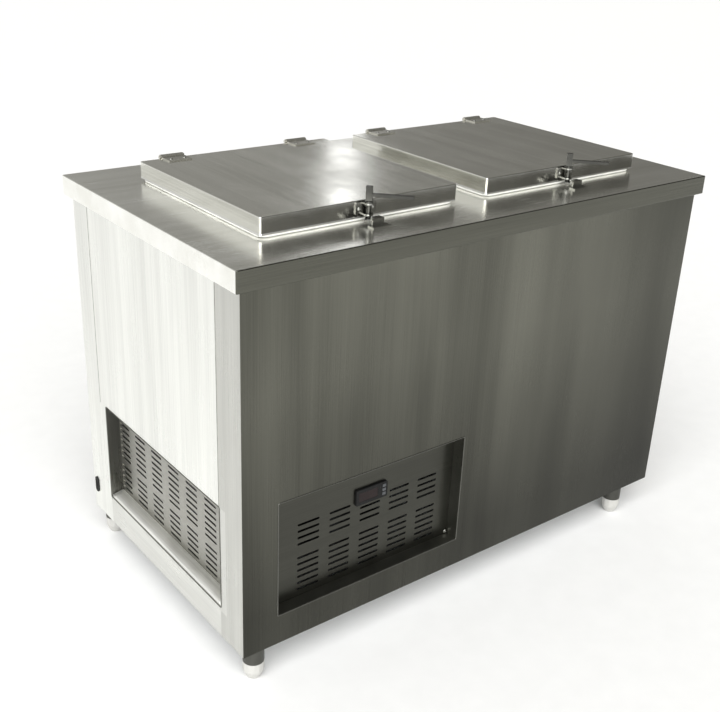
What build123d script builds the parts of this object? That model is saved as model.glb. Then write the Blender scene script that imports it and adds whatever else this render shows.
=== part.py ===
from build123d import *
import os
from math import cos, radians, sin

# A chest-type milk cooling tank: a stainless cabinet on four short legs, a tabletop with a
# downturned lip, two insulated hinged lids, a stepped milk tank in foam, and a refrigeration
# unit in the bay at the lower left, behind a front grille and a side grille.
# Millimetres. Origin on the floor under the middle of the tabletop, +X to the right,
# +Y to the back, +Z up.

# ---------------------------------------------------------------- driving dimensions
top_length = 1200.0        # tabletop, left to right
top_depth = 670.0          # tabletop, front to back
top_height = 840.0         # floor to tabletop surface
lip_height = 38.0          # downturned edge of the tabletop
side_overhang = 14.0       # lip beyond the cabinet sides and back
front_overhang = 12.0      # lip beyond the cabinet front
ground_clearance = 70.0    # floor to the underside of the cabinet
skin = 1.5                 # cabinet sheet
top_sheet = 2.0            # tabletop sheet
slip = 0.3                 # clearance between a loose piece and its seat

lid_width = 446.0          # each lid, left to right
lid_depth = 440.0          # each lid, front to back
lid_gap = 78.0             # between the two lids
lid_front_set = 114.0      # tabletop front edge to lid front
lid_rise = 39.0            # lid top above the tabletop
lid_sheet = 1.2
seal_height = 6.5          # gap under the lid edge, taken up by the gasket
seal_width = 16.0
hatch_margin = 24.0        # lid edge to the tabletop opening

tank_wall = 1.5
tank_length = 1012.0       # inside
tank_width = 488.0         # inside
deep_rise = 73.5           # base pan to the tank floor, right part
shallow_rise = 62.0        # machine bay ceiling to the tank floor above it
tank_corner = 12.0

bay_height = 400.0         # machine bay ceiling above the floor
bay_right = -20.0          # machine bay partition
frame_rail = 30.0          # base frame channel width and height
coil_tube = 10.0
coil_room = 14.0           # space left round the tank for the cooling tube
step_set = 70.0            # partition to the step in the tank floor

leg_diameter = 42.0
foot_height = 38.0
foot_diameter = 42.0
left_leg_inset = 49.0      # tabletop left edge to the centre of the left legs
right_leg_inset = 111.0    # tabletop right edge to the centre of the right legs
leg_depth_inset = 34.0     # tabletop front or back edge to leg centre

recess = 28.0              # grilles stand back this far behind the skin
front_grille_width = 451.0
front_grille_height = 247.0
front_grille_left = 89.0   # tabletop left edge to the front grille opening
front_grille_base = 64.0   # cabinet underside to the front grille opening
side_grille_width = 475.0
side_grille_height = 223.0
side_grille_front = 91.0   # tabletop front edge to the side grille opening
side_grille_base = 66.0    # cabinet underside to the side grille opening

hinge_spread = 150.0       # lid middle to hinge middle
hinge_width = 50.0
hinge_pin_d = 5.0
hinge_barrel_d = 10.0
hinge_leaf = 2.4
running_fit = 0.05         # radial clearance of a turning fit

spindle_d = 10.0
handle_reach = 76.0
handle_angle = 45.0        # lever at rest, from +X towards the front

# ---------------------------------------------------------------- derived planes
half_length = top_length / 2
half_depth = top_depth / 2
body_left = -half_length + side_overhang
body_right = half_length - side_overhang
body_front = -half_depth + front_overhang
body_back = half_depth - side_overhang
body_base = ground_clearance
inner_left = body_left + skin
inner_right = body_right - skin
inner_front = body_front + skin
inner_back = body_back - skin
sheet_under = top_height - top_sheet
lid_top = top_height + lid_rise
lid_base = top_height + seal_height
lid_front = -half_depth + lid_front_set
lid_back = lid_front + lid_depth
lid_middle_y = (lid_front + lid_back) / 2
lid_offset = (lid_gap + lid_width) / 2
lid_sides = (("left", -lid_offset), ("right", lid_offset))
hatch_width = lid_width - 2 * hatch_margin
hatch_depth = lid_depth - 2 * hatch_margin
tank_x = tank_length / 2
tank_front = lid_middle_y - tank_width / 2
tank_back = lid_middle_y + tank_width / 2
frame_top = body_base + frame_rail
pan_top = frame_top + skin
deep_floor = pan_top + deep_rise
shallow_floor = bay_height + shallow_rise
step_x = bay_right + step_set

os.makedirs("parts", exist_ok=True)


def slab(x0, x1, y0, y1, z0, z1, mode=Mode.ADD):
    """A box given by its two corners."""
    with Locations((x0, y0, z0)):
        return Box(x1 - x0, y1 - y0, z1 - z0, align=(Align.MIN, Align.MIN, Align.MIN), mode=mode)


def rod(center, radius, length, axis="Z", mode=Mode.ADD):
    """A cylinder centred on a point, along one axis."""
    turn = {"Z": (0, 0, 0), "X": (0, 90, 0), "Y": (90, 0, 0)}[axis]
    with Locations(Location(center, turn)):
        return Cylinder(radius, length, mode=mode)


def bent_tube(points, bend, diameter):
    """A round tube along straight runs joined by tangent arcs."""
    with BuildPart() as tube:
        with BuildLine() as path:
            FilletPolyline(*points, radius=bend)
        with BuildSketch(Plane(origin=path.line @ 0, z_dir=path.line % 0)):
            Circle(diameter / 2)
        sweep(path=path.line)
    return tube.part


# ================================================================ tabletop
with BuildPart() as tabletop:
    slab(-half_length, half_length, -half_depth, half_depth, top_height - lip_height, top_height)
    fillet(tabletop.edges().filter_by(Axis.Z), radius=4)
    fillet(tabletop.faces().sort_by(Axis.Z)[-1].edges(), radius=1.5)
    slab(
        -half_length + top_sheet, half_length - top_sheet,
        -half_depth + top_sheet, half_depth - top_sheet,
        top_height - lip_height, sheet_under, mode=Mode.SUBTRACT,
    )
    with BuildSketch(Plane.XY.offset(sheet_under)):
        with Locations((-lid_offset, lid_middle_y), (lid_offset, lid_middle_y)):
            RectangleRounded(hatch_width, hatch_depth, 20)
    extrude(amount=top_sheet, mode=Mode.SUBTRACT)
tabletop.part.label = "tabletop"
export_step(tabletop.part, "parts/tabletop.step")

# ================================================================ cabinet skins
skin_return = 81.0         # front skin wrapped round each corner
rear_return = 64.0         # rear corner posts along the sides
post_return = 40.0         # rear corner posts along the back
frame_flange = 20.0        # visible face flange at the front of the side grille
sill_flange = 8.0

front_open_x0 = -half_length + front_grille_left
front_open_x1 = front_open_x0 + front_grille_width
front_open_z0 = body_base + front_grille_base
front_open_z1 = front_open_z0 + front_grille_height
side_open_y0 = -half_depth + side_grille_front
side_open_y1 = side_open_y0 + side_grille_width
side_open_z0 = body_base + side_grille_base
side_open_z1 = side_open_z0 + side_grille_height
skin_seam_y = body_front + skin_return
post_seam_y = body_back - rear_return

with BuildPart() as front_skin:
    slab(body_left, body_right, body_front, inner_front, body_base, sheet_under)
    slab(body_left, inner_left, body_front, skin_seam_y, body_base, sheet_under)
    slab(inner_right, body_right, body_front, skin_seam_y, body_base, sheet_under)
    slab(
        front_open_x0, front_open_x1, body_front, inner_front,
        front_open_z0, front_open_z1, mode=Mode.SUBTRACT,
    )
    slab(
        body_left, inner_left, side_open_y0 - frame_flange, skin_seam_y,
        side_open_z0 - sill_flange, side_open_z1, mode=Mode.SUBTRACT,
    )
front_skin.part.label = "front_skin"
export_step(front_skin.part, "parts/front_skin.step")

with BuildPart() as side_panel_left:
    slab(body_left, inner_left, skin_seam_y, post_seam_y, side_open_z1, sheet_under)
side_panel_left.part.label = "side_panel_left"
export_step(side_panel_left.part, "parts/side_panel_left.step")

with BuildPart() as side_panel_right:
    slab(inner_right, body_right, skin_seam_y, post_seam_y, body_base, sheet_under)
side_panel_right.part.label = "side_panel_right"
export_step(side_panel_right.part, "parts/side_panel_right.step")

vent_slot_length = 60.0
vent_slot_height = 6.0
vent_pitch = 16.0
with BuildPart() as back_panel:
    slab(
        body_left + post_return, body_right - post_return, inner_back, body_back,
        body_base, sheet_under,
    )
    with BuildSketch(Plane.XZ.offset(-body_back)):
        with Locations((bay_right - 300, 240)):
            with GridLocations(vent_slot_length + 20, vent_pitch, 4, 10):
                SlotOverall(vent_slot_length, vent_slot_height)
    extrude(amount=skin, mode=Mode.SUBTRACT)
back_panel.part.label = "back_panel"
export_step(back_panel.part, "parts/back_panel.step")

grommet_y = body_back - 16.0
grommet_z = body_base + 61.0
grommet_rim = (38.0, 16.0)    # tall, wide
grommet_neck = (32.0, 10.0)
grommet_slit = (26.0, 4.0)
with BuildPart() as rear_posts:
    slab(body_left, inner_left, post_seam_y, body_back, body_base, sheet_under)
    slab(body_left, inner_left, side_open_y1, post_seam_y, body_base, side_open_z1)
    slab(body_left, body_left + post_return, inner_back, body_back, body_base, sheet_under)
    with BuildSketch(Plane.YZ.offset(body_left)):
        with Locations((grommet_y, grommet_z)):
            SlotOverall(grommet_neck[0] + 2 * slip, grommet_neck[1] + 2 * slip, rotation=90)
    extrude(amount=skin, mode=Mode.SUBTRACT)
    slab(inner_right, body_right, post_seam_y, body_back, body_base, sheet_under)
    slab(body_right - post_return, body_right, inner_back, body_back, body_base, sheet_under)
rear_posts.part.label = "rear_posts"
export_step(rear_posts.part, "parts/rear_posts.step")

with BuildPart() as side_bottom_rail:
    slab(
        body_left, inner_left, skin_seam_y, side_open_y1,
        body_base, side_open_z0 - sill_flange,
    )
side_bottom_rail.part.label = "side_bottom_rail"
export_step(side_bottom_rail.part, "parts/side_bottom_rail.step")

# ================================================================ grilles
plate_ledge = 12.0         # inward flange that carries a grille plate
plate_slip = 0.25
slot_height = 5.0
screw_d = 5.0
front_back_y = body_front + recess
side_back_x = body_left + recess

with BuildPart() as front_grille_frame:
    slab(
        front_open_x0, front_open_x1, body_front, front_back_y + 2 * skin,
        front_open_z0, front_open_z1,
    )
    slab(
        front_open_x0 + skin, front_open_x1 - skin, body_front, front_back_y + skin,
        front_open_z0 + skin, front_open_z1 - skin, mode=Mode.SUBTRACT,
    )
    slab(
        front_open_x0 + plate_ledge, front_open_x1 - plate_ledge,
        front_back_y + skin, front_back_y + 2 * skin,
        front_open_z0 + plate_ledge, front_open_z1 - plate_ledge, mode=Mode.SUBTRACT,
    )
front_grille_frame.part.label = "front_grille_frame"
export_step(front_grille_frame.part, "parts/front_grille_frame.step")

column_pitch = 73.5
slot_length = 50.0
slot_pitch = 14.3
front_first_x = -half_length + 176.0
controller_x = front_first_x + 2 * column_pitch
controller_z = body_base + 240.0
controller_face = (77.0, 34.5)
controller_body = (71.0, 29.0)
upper_row_z = body_base + 227.0
lower_row_z = body_base + 153.0

with BuildPart() as front_grille:
    slab(
        front_open_x0 + skin + plate_slip, front_open_x1 - skin - plate_slip,
        front_back_y, front_back_y + skin,
        front_open_z0 + skin + plate_slip, front_open_z1 - skin - plate_slip,
    )
    with BuildSketch(Plane.XZ.offset(-front_back_y - skin)):
        for column in range(5):
            column_x = front_first_x + column * column_pitch
            for row in range(1 if column == 2 else 0, 4):
                with Locations((column_x, upper_row_z - row * slot_pitch)):
                    SlotOverall(slot_length, slot_height)
            for row in range(6):
                with Locations((column_x, lower_row_z - row * slot_pitch)):
                    SlotOverall(slot_length, slot_height)
        with Locations((controller_x, controller_z)):
            Rectangle(controller_body[0] + 2 * plate_slip, controller_body[1] + 2 * plate_slip)
    extrude(amount=skin, mode=Mode.SUBTRACT)
front_grille.part.label = "front_grille"
export_step(front_grille.part, "parts/front_grille.step")

with BuildPart() as side_grille_frame:
    slab(
        body_left, side_back_x + 2 * skin, side_open_y0, side_open_y1,
        side_open_z0, side_open_z1,
    )
    slab(
        body_left, inner_left, side_open_y0 - frame_flange, side_open_y0,
        side_open_z0 - sill_flange, side_open_z1,
    )
    slab(
        body_left, inner_left, side_open_y0, side_open_y1,
        side_open_z0 - sill_flange, side_open_z0,
    )
    slab(
        body_left, side_back_x + skin, side_open_y0 + skin, side_open_y1 - skin,
        side_open_z0 + skin, side_open_z1 - skin, mode=Mode.SUBTRACT,
    )
    slab(
        side_back_x + skin, side_back_x + 2 * skin,
        side_open_y0 + plate_ledge, side_open_y1 - plate_ledge,
        side_open_z0 + plate_ledge, side_open_z1 - plate_ledge, mode=Mode.SUBTRACT,
    )
side_grille_frame.part.label = "side_grille_frame"
export_step(side_grille_frame.part, "parts/side_grille_frame.step")

side_columns = 6
side_column_pitch = 73.0
side_slot_length = 44.0
side_slot_pitch = 13.5
side_first_y = -half_depth + 175.0
side_rows = [(body_base + 258.0, 8), (body_base + 141.0, 5)]   # top slot and count of each group
with BuildPart() as side_grille:
    slab(
        side_back_x, side_back_x + skin,
        side_open_y0 + skin + plate_slip, side_open_y1 - skin - plate_slip,
        side_open_z0 + skin + plate_slip, side_open_z1 - skin - plate_slip,
    )
    with BuildSketch(Plane.YZ.offset(side_back_x)):
        for column in range(side_columns):
            column_y = side_first_y + column * side_column_pitch
            for top_z, count in side_rows:
                for row in range(count):
                    with Locations((column_y, top_z - row * side_slot_pitch)):
                        SlotOverall(side_slot_length, slot_height)
    extrude(amount=skin, mode=Mode.SUBTRACT)
side_grille.part.label = "side_grille"
export_step(side_grille.part, "parts/side_grille.step")

screw_inset = 7.0
screw_head = 2.5
with BuildPart() as grille_screws:
    for x in (front_open_x0 + screw_inset, front_open_x1 - screw_inset):
        for z in (front_open_z0 + screw_inset, front_open_z1 - screw_inset):
            rod((x, front_back_y - screw_head / 2, z), 1.6 * screw_d / 2, screw_head, "Y")
    for y in (side_open_y0 + screw_inset, side_open_y1 - screw_inset):
        for z in (side_open_z0 + screw_inset, side_open_z1 - screw_inset):
            rod((side_back_x - screw_head / 2, y, z), 1.6 * screw_d / 2, screw_head, "X")
grille_screws.part.label = "grille_screws"
export_step(grille_screws.part, "parts/grille_screws.step")

# ================================================================ base
cross_rails = (bay_right, 280.0)   # middles of the two cross channels
drain_x = tank_x - 106.0
drain_y = tank_back - 93.0
drain_tube = 34.0
drain_bore = 28.0

with BuildPart() as base_frame:
    slab(inner_left, inner_right, inner_front, inner_back, body_base, frame_top)
    slab(
        inner_left + frame_rail, inner_right - frame_rail,
        inner_front + frame_rail, inner_back - frame_rail,
        body_base, frame_top, mode=Mode.SUBTRACT,
    )
    for rail_x in cross_rails:
        slab(
            rail_x - frame_rail / 2, rail_x + frame_rail / 2,
            inner_front + frame_rail, inner_back - frame_rail, body_base, frame_top,
        )
base_frame.part.label = "base_frame"
export_step(base_frame.part, "parts/base_frame.step")

with BuildPart() as base_pan:
    slab(inner_left, inner_right, inner_front, inner_back, frame_top, pan_top)
    rod((drain_x, drain_y, frame_top), drain_tube / 2 + slip, 4 * skin, "Z", Mode.SUBTRACT)
base_pan.part.label = "base_pan"
export_step(base_pan.part, "parts/base_pan.step")

leg_places = [
    (x, y)
    for x in (-half_length + left_leg_inset, half_length - right_leg_inset)
    for y in (-half_depth + leg_depth_inset, half_depth - leg_depth_inset)
]
leg_wall = 3.0
stud_d = 12.0
with BuildPart() as leg_stubs:
    with BuildSketch(Plane.XY.offset(foot_height)):
        with Locations(*leg_places):
            Circle(leg_diameter / 2)
    extrude(amount=body_base - foot_height)
    with BuildSketch(Plane.XY.offset(foot_height + leg_wall)):
        with Locations(*leg_places):
            Circle(leg_diameter / 2 - leg_wall)
    extrude(amount=body_base - foot_height - leg_wall, mode=Mode.SUBTRACT)
    with BuildSketch(Plane.XY.offset(foot_height)):
        with Locations(*leg_places):
            Circle(stud_d / 2 + slip)
    extrude(amount=leg_wall, mode=Mode.SUBTRACT)
leg_stubs.part.label = "leg_stubs"
export_step(leg_stubs.part, "parts/leg_stubs.step")

foot_base_d = 28.0
with BuildPart() as levelling_feet:
    for place in leg_places:
        with BuildSketch(Plane.XZ.offset(-place[1])):
            with BuildLine():
                FilletPolyline(
                    (place[0], 0),
                    (place[0] + foot_base_d / 2, 0),
                    (place[0] + foot_diameter / 2, foot_height * 0.45),
                    (place[0] + foot_diameter / 2, foot_height),
                    (place[0], foot_height),
                    radius=3,
                )
                Line((place[0], foot_height), (place[0], 0))
            make_face()
        revolve(axis=Axis((place[0], place[1], 0), (0, 0, 1)))
        rod((place[0], place[1], foot_height + 9), stud_d / 2, 18)
levelling_feet.part.label = "levelling_feet"
export_step(levelling_feet.part, "parts/levelling_feet.step")

# ================================================================ milk tank
flange_width = 18.0


def stepped_outline(grow):
    """Corners of the tank seen from the front, grown outwards."""
    return [
        (-tank_x - grow, sheet_under),
        (-tank_x - grow, shallow_floor - grow),
        (step_x - grow, shallow_floor - grow),
        (step_x - grow, deep_floor - grow),
        (tank_x + grow, deep_floor - grow),
        (tank_x + grow, sheet_under),
    ]


with BuildPart() as tank_void:
    with BuildSketch(Plane.XZ.offset(-tank_back)):
        with BuildLine():
            Polyline(*stepped_outline(0), close=True)
        make_face()
    extrude(amount=tank_width)
    fillet(tank_void.edges().filter_by(Axis.Z), radius=tank_corner)

with BuildPart() as inner_tank:
    with BuildSketch(Plane.XZ.offset(-tank_back - tank_wall)):
        with BuildLine():
            Polyline(*stepped_outline(tank_wall), close=True)
        make_face()
    extrude(amount=tank_width + 2 * tank_wall)
    fillet(inner_tank.edges().filter_by(Axis.Z), radius=tank_corner + tank_wall)
    with BuildSketch(Plane.XY.offset(sheet_under - tank_wall)):
        with Locations((0, lid_middle_y)):
            Rectangle(tank_length + 2 * flange_width, tank_width + 2 * flange_width)
    extrude(amount=tank_wall)
    add(tank_void.part, mode=Mode.SUBTRACT)
    rod((drain_x, drain_y, deep_floor), drain_bore / 2, 4 * tank_wall, "Z", Mode.SUBTRACT)
inner_tank.part.label = "inner_tank"
export_step(inner_tank.part, "parts/inner_tank.step")

header_tube = coil_tube + 1.4
coil_y = tank_back + tank_wall + slip + header_tube / 2
drop_x = (bay_right - 180.0, bay_right - 130.0)   # cooling tubes down into the machine bay
with BuildPart() as tank_insulation:
    slab(
        inner_left + slip, inner_right - slip, inner_front + slip, inner_back - slip,
        bay_height + 2 * skin, sheet_under - tank_wall - slip,
    )
    slab(
        bay_right + 2 * skin, inner_right - slip, inner_front + slip, inner_back - slip,
        pan_top + slip, bay_height + 2 * skin,
    )
    room = tank_wall + coil_room
    slab(
        -tank_x - room, tank_x + room, tank_front - room, tank_back + room,
        shallow_floor - room, sheet_under, mode=Mode.SUBTRACT,
    )
    slab(
        step_x - room, tank_x + room, tank_front - room, tank_back + room,
        deep_floor - room, sheet_under, mode=Mode.SUBTRACT,
    )
    for x in drop_x:
        rod((x, coil_y, (bay_height + shallow_floor) / 2), header_tube / 2 + 1, shallow_rise, "Z",
            Mode.SUBTRACT)
    rod((drain_x, drain_y, (pan_top + deep_floor) / 2), drain_tube / 2 + 1, deep_rise + 2 * room, "Z",
        Mode.SUBTRACT)
tank_insulation.part.label = "tank_insulation"
export_step(tank_insulation.part, "parts/tank_insulation.step")

full_turns = 5
lowest_turn = 38.0         # shallow floor to the first cooling turn
highest_turn = 98.0        # last cooling turn to the tabletop sheet
full_pitch = (sheet_under - highest_turn - shallow_floor - lowest_turn) / (full_turns - 1)
full_levels = [shallow_floor + lowest_turn + turn * full_pitch for turn in range(full_turns)]
deep_levels = [deep_floor + rise for rise in (65.0, 145.0, 225.0)]
header_back_x = tank_x - 206.0
reach = tank_wall + slip + coil_tube / 2
coil_bend = tank_corner + reach
coil_turns = [(-tank_x - reach, level) for level in full_levels]
coil_turns += [(step_x - reach, level) for level in deep_levels]
with BuildPart() as evaporator_coil:
    for turn_left, level in coil_turns:
        with BuildLine() as loop:
            FilletPolyline(
                (turn_left, tank_front - reach, level),
                (tank_x + reach, tank_front - reach, level),
                (tank_x + reach, tank_back + reach, level),
                (turn_left, tank_back + reach, level),
                radius=coil_bend,
                close=True,
            )
        with BuildSketch(Plane(origin=loop.line @ 0, z_dir=loop.line % 0)):
            Circle(coil_tube / 2)
        sweep(path=loop.line)
    rod((header_back_x, coil_y, (deep_levels[0] + full_levels[-1]) / 2), header_tube / 2,
        full_levels[-1] - deep_levels[0])
    for x in drop_x:
        rod((x, coil_y, (bay_height - 10 + full_levels[0]) / 2), header_tube / 2,
            full_levels[0] - bay_height + 10)
evaporator_coil.part.label = "evaporator_coil"
export_step(evaporator_coil.part, "parts/evaporator_coil.step")

# ================================================================ machine bay
with BuildPart() as machine_bay_liner:
    slab(inner_left, bay_right + skin, inner_front, inner_back, bay_height, bay_height + skin)
    slab(bay_right, bay_right + skin, inner_front, inner_back, pan_top, bay_height)
    for x in drop_x:
        rod((x, coil_y, bay_height), header_tube / 2 + 1, 6 * skin, "Z", Mode.SUBTRACT)
machine_bay_liner.part.label = "machine_bay_liner"
export_step(machine_bay_liner.part, "parts/machine_bay_liner.step")

compressor_x = bay_right - 195.0
compressor_y = -70.0
compressor_radius = 78.0
compressor_plate = (200.0, 140.0)
compressor_spread = (85.0, 55.0)    # middle to the mounting holes
compressor_height = 185.0
grommet_height = 12.0
stub_d = 9.0
stub_reach = 24.0
plate_z = pan_top + grommet_height
pot_base = plate_z + 3
suction_z = pot_base + compressor_height * 0.62
discharge_z = pot_base + compressor_height * 0.3
mount_places = [
    (compressor_x + along * compressor_spread[0], compressor_y + across * compressor_spread[1])
    for along in (-1, 1)
    for across in (-1, 1)
]

with BuildPart() as compressor:
    with BuildSketch(Plane.XY.offset(plate_z)):
        with Locations((compressor_x, compressor_y)):
            RectangleRounded(*compressor_plate, 12)
        with Locations(*mount_places):
            Circle(5 + slip, mode=Mode.SUBTRACT)
    extrude(amount=3)
    rod((compressor_x, compressor_y, pot_base + compressor_height / 2), compressor_radius, compressor_height)
    fillet(compressor.edges().filter_by(GeomType.CIRCLE).sort_by(Axis.Z)[-1], radius=42)
    rod((compressor_x, compressor_y, pot_base + compressor_height * 0.5), compressor_radius + 4, 8)
    rod((compressor_x, compressor_y + compressor_radius + stub_reach / 2 - 2, suction_z),
        stub_d / 2, stub_reach + 4, "Y")
    rod((compressor_x - compressor_radius - stub_reach / 2 + 2, compressor_y, discharge_z),
        stub_d / 2, stub_reach + 4, "X")
compressor.part.label = "compressor"
export_step(compressor.part, "parts/compressor.step")

with BuildPart() as compressor_grommets:
    for place in mount_places:
        rod((place[0], place[1], pan_top + grommet_height / 2), 11, grommet_height)
        rod((place[0], place[1], plate_z + 3), 5, 6)
        rod((place[0], place[1], plate_z + 5), 9, 4 - 2 * slip)
compressor_grommets.part.label = "compressor_grommets"
export_step(compressor_grommets.part, "parts/compressor_grommets.step")

with BuildPart() as compressor_terminal_cover:
    slab(
        compressor_x + compressor_radius + 4 + slip, compressor_x + compressor_radius + 38,
        compressor_y - 26, compressor_y + 26, pot_base + 40, pot_base + 110,
    )
    fillet(compressor_terminal_cover.edges().filter_by(Axis.Z), radius=4)
compressor_terminal_cover.part.label = "compressor_terminal_cover"
export_step(compressor_terminal_cover.part, "parts/compressor_terminal_cover.step")

coil_back_x = side_back_x + 10.0
coil_depth = 54.0
coil_y0 = side_open_y0 + 74.0
coil_y1 = side_open_y1 - 51.0
coil_z0 = pan_top + slip
coil_z1 = bay_height - 48.0
fin_count = 26
fin_sheet = 0.8
condenser_rows = 5
condenser_tube = 9.0
condenser_pitch = (coil_z1 - coil_z0) / condenser_rows
with BuildPart() as condenser_coil:
    for index in range(fin_count):
        fin_y = coil_y0 + index * (coil_y1 - coil_y0 - fin_sheet) / (fin_count - 1)
        slab(coil_back_x, coil_back_x + coil_depth, fin_y, fin_y + fin_sheet, coil_z0, coil_z1)
    for column_x in (coil_back_x + coil_depth * 0.3, coil_back_x + coil_depth * 0.7):
        for row in range(condenser_rows):
            rod((column_x, (coil_y0 + coil_y1) / 2, coil_z0 + (row + 0.5) * condenser_pitch),
                condenser_tube / 2, coil_y1 - coil_y0 + 24, "Y")
    for edge_y in (coil_y0 - 8, coil_y1 + 8):
        for row in range(condenser_rows):
            rod((coil_back_x + coil_depth / 2, edge_y, coil_z0 + (row + 0.5) * condenser_pitch),
                condenser_tube / 2 - 0.5, coil_depth * 0.4, "X")
    for row in range(condenser_rows - 1):
        edge_y = coil_y0 - 8 if row % 2 else coil_y1 + 8
        rod((coil_back_x + coil_depth * 0.7, edge_y, coil_z0 + (row + 1) * condenser_pitch),
            condenser_tube / 2 - 0.5, condenser_pitch, "Z")
condenser_coil.part.label = "condenser_coil"
export_step(condenser_coil.part, "parts/condenser_coil.step")

fan_y = (coil_y0 + coil_y1) / 2
fan_z = (coil_z0 + coil_z1) / 2
fan_radius = 102.0
fan_tip_gap = 5.0
shroud_back_x = coil_back_x + coil_depth + slip
shroud_depth = 34.0
ring_x = shroud_back_x + shroud_depth
with BuildPart() as fan_shroud:
    slab(shroud_back_x, ring_x, coil_y0, coil_y1, coil_z0, coil_z1)
    slab(
        shroud_back_x, ring_x - skin, coil_y0 + skin, coil_y1 - skin,
        coil_z0 + skin, coil_z1 - skin, mode=Mode.SUBTRACT,
    )
    rod((ring_x + 11, fan_y, fan_z), fan_radius + fan_tip_gap + 2, 22, "X")
    rod((ring_x + 11, fan_y, fan_z), fan_radius + fan_tip_gap, 60, "X", Mode.SUBTRACT)
fan_shroud.part.label = "fan_shroud"
export_step(fan_shroud.part, "parts/fan_shroud.step")

motor_shaft_d = 6.0
motor_radius = 32.0
motor_length = 56.0
hub_depth = 20.0
hub_radius = 22.0
ring_depth = 22.0
blade_x = ring_x + 8
motor_x = ring_x + ring_depth + slip
mount_sheet = 4.0
mount_ring = fan_radius + fan_tip_gap + 12
with BuildPart() as fan_motor:
    rod((motor_x + motor_length / 2, fan_y, fan_z), motor_radius, motor_length, "X")
    fillet(fan_motor.edges().filter_by(GeomType.CIRCLE), radius=3)
    rod((motor_x - 8, fan_y, fan_z), motor_shaft_d / 2, 32, "X")
    with BuildSketch(Plane.YZ.offset(motor_x)):
        with Locations((fan_y, fan_z)):
            Circle(mount_ring)
            Circle(fan_radius + fan_tip_gap, mode=Mode.SUBTRACT)
            for angle in (45, 135):
                with Locations(Location((0, 0), angle)):
                    Rectangle(2 * mount_ring - 8, 14)
    extrude(amount=mount_sheet)
fan_motor.part.label = "fan_motor"
export_step(fan_motor.part, "parts/fan_motor.step")

blade_count = 5
blade_root_radius = 15.0   # inside the hub
blade_sections = (         # radius, half thickness, half chord, pitch
    (blade_root_radius, 2.0, 14.0, -40.0),
    (fan_radius, 1.2, 30.0, -20.0),
)
with BuildPart() as fan_blade:
    rod((blade_x, fan_y, fan_z), hub_radius, hub_depth, "X")
    for index in range(blade_count):
        turn = radians(360 / blade_count * index)
        spin = Plane(origin=(blade_x, fan_y, fan_z), x_dir=(1, 0, 0), z_dir=(0, cos(turn), sin(turn)))
        for radius, half_thick, half_chord, pitch in blade_sections:
            with BuildSketch(spin.offset(radius)):
                with Locations(Location((0, 0), pitch)):
                    Polygon(
                        (0, -half_chord), (half_thick, -half_chord / 2), (half_thick, half_chord / 2),
                        (0, half_chord), (-half_thick, half_chord / 2), (-half_thick, -half_chord / 2),
                        align=None,
                    )
        loft()
    rod((blade_x, fan_y, fan_z), motor_shaft_d / 2 + running_fit, 60, "X", Mode.SUBTRACT)
fan_blade.part.label = "fan_blade"
export_step(fan_blade.part, "parts/fan_blade.step")

# refrigerant lines, with tangent bends
line_d = 8.0
line_bend = 16.0
coil_end_z = bay_height - 10
drier_x = bay_right - 310.0
drier_y = coil_y - 12
drier_z = 250.0
drier_length = 110.0
drier_radius = 13.0
feed_row_z = coil_z0 + (condenser_rows - 0.5) * condenser_pitch
drain_row_z = coil_z0 + 0.5 * condenser_pitch
header_x = coil_back_x + coil_depth * 0.7
header_y = coil_y1 + 12
riser_y = coil_y1 - 30
discharge_run = bent_tube(
    [
        (compressor_x - compressor_radius - stub_reach, compressor_y, discharge_z),
        (compressor_x - compressor_radius - stub_reach - 40, compressor_y, discharge_z),
        (compressor_x - compressor_radius - stub_reach - 40, riser_y, discharge_z),
        (compressor_x - compressor_radius - stub_reach - 40, riser_y, feed_row_z + 16),
        (compressor_x - compressor_radius - stub_reach - 40, header_y + 40, feed_row_z + 16),
        (header_x, header_y + 40, feed_row_z),
        (header_x, header_y, feed_row_z),
    ],
    line_bend, line_d,
)
suction_run = bent_tube(
    [
        (compressor_x, compressor_y + compressor_radius + stub_reach, suction_z),
        (compressor_x, coil_y - 60, suction_z),
        (drop_x[0], coil_y, suction_z + 60),
        (drop_x[0], coil_y, coil_end_z),
    ],
    line_bend, line_d,
)
liquid_low = bent_tube(
    [
        (header_x, header_y, drain_row_z),
        (header_x, header_y + 55, drain_row_z),
        (drier_x, header_y + 55, drain_row_z),
        (drier_x, drier_y, drain_row_z + 20),
        (drier_x, drier_y, drier_z - drier_length / 2),
    ],
    line_bend, line_d,
)
liquid_high = bent_tube(
    [
        (drier_x, drier_y, drier_z + drier_length / 2),
        (drier_x, drier_y, drier_z + drier_length / 2 + 40),
        (drop_x[1], drier_y + 4, drier_z + drier_length / 2 + 40),
        (drop_x[1], coil_y, drier_z + drier_length / 2 + 60),
        (drop_x[1], coil_y, coil_end_z),
    ],
    line_bend / 2, line_d,
)

with BuildPart() as discharge_line:
    add(discharge_run)
discharge_line.part.label = "discharge_line"
export_step(discharge_line.part, "parts/discharge_line.step")

with BuildPart() as suction_line:
    add(suction_run)
suction_line.part.label = "suction_line"
export_step(suction_line.part, "parts/suction_line.step")

with BuildPart() as liquid_line:
    add(liquid_low)
    add(liquid_high)
liquid_line.part.label = "liquid_line"
export_step(liquid_line.part, "parts/liquid_line.step")

with BuildPart() as filter_drier:
    rod((drier_x, drier_y, drier_z), drier_radius, drier_length)
    fillet(filter_drier.edges().filter_by(GeomType.CIRCLE), radius=8)
filter_drier.part.label = "filter_drier"
export_step(filter_drier.part, "parts/filter_drier.step")

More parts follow.
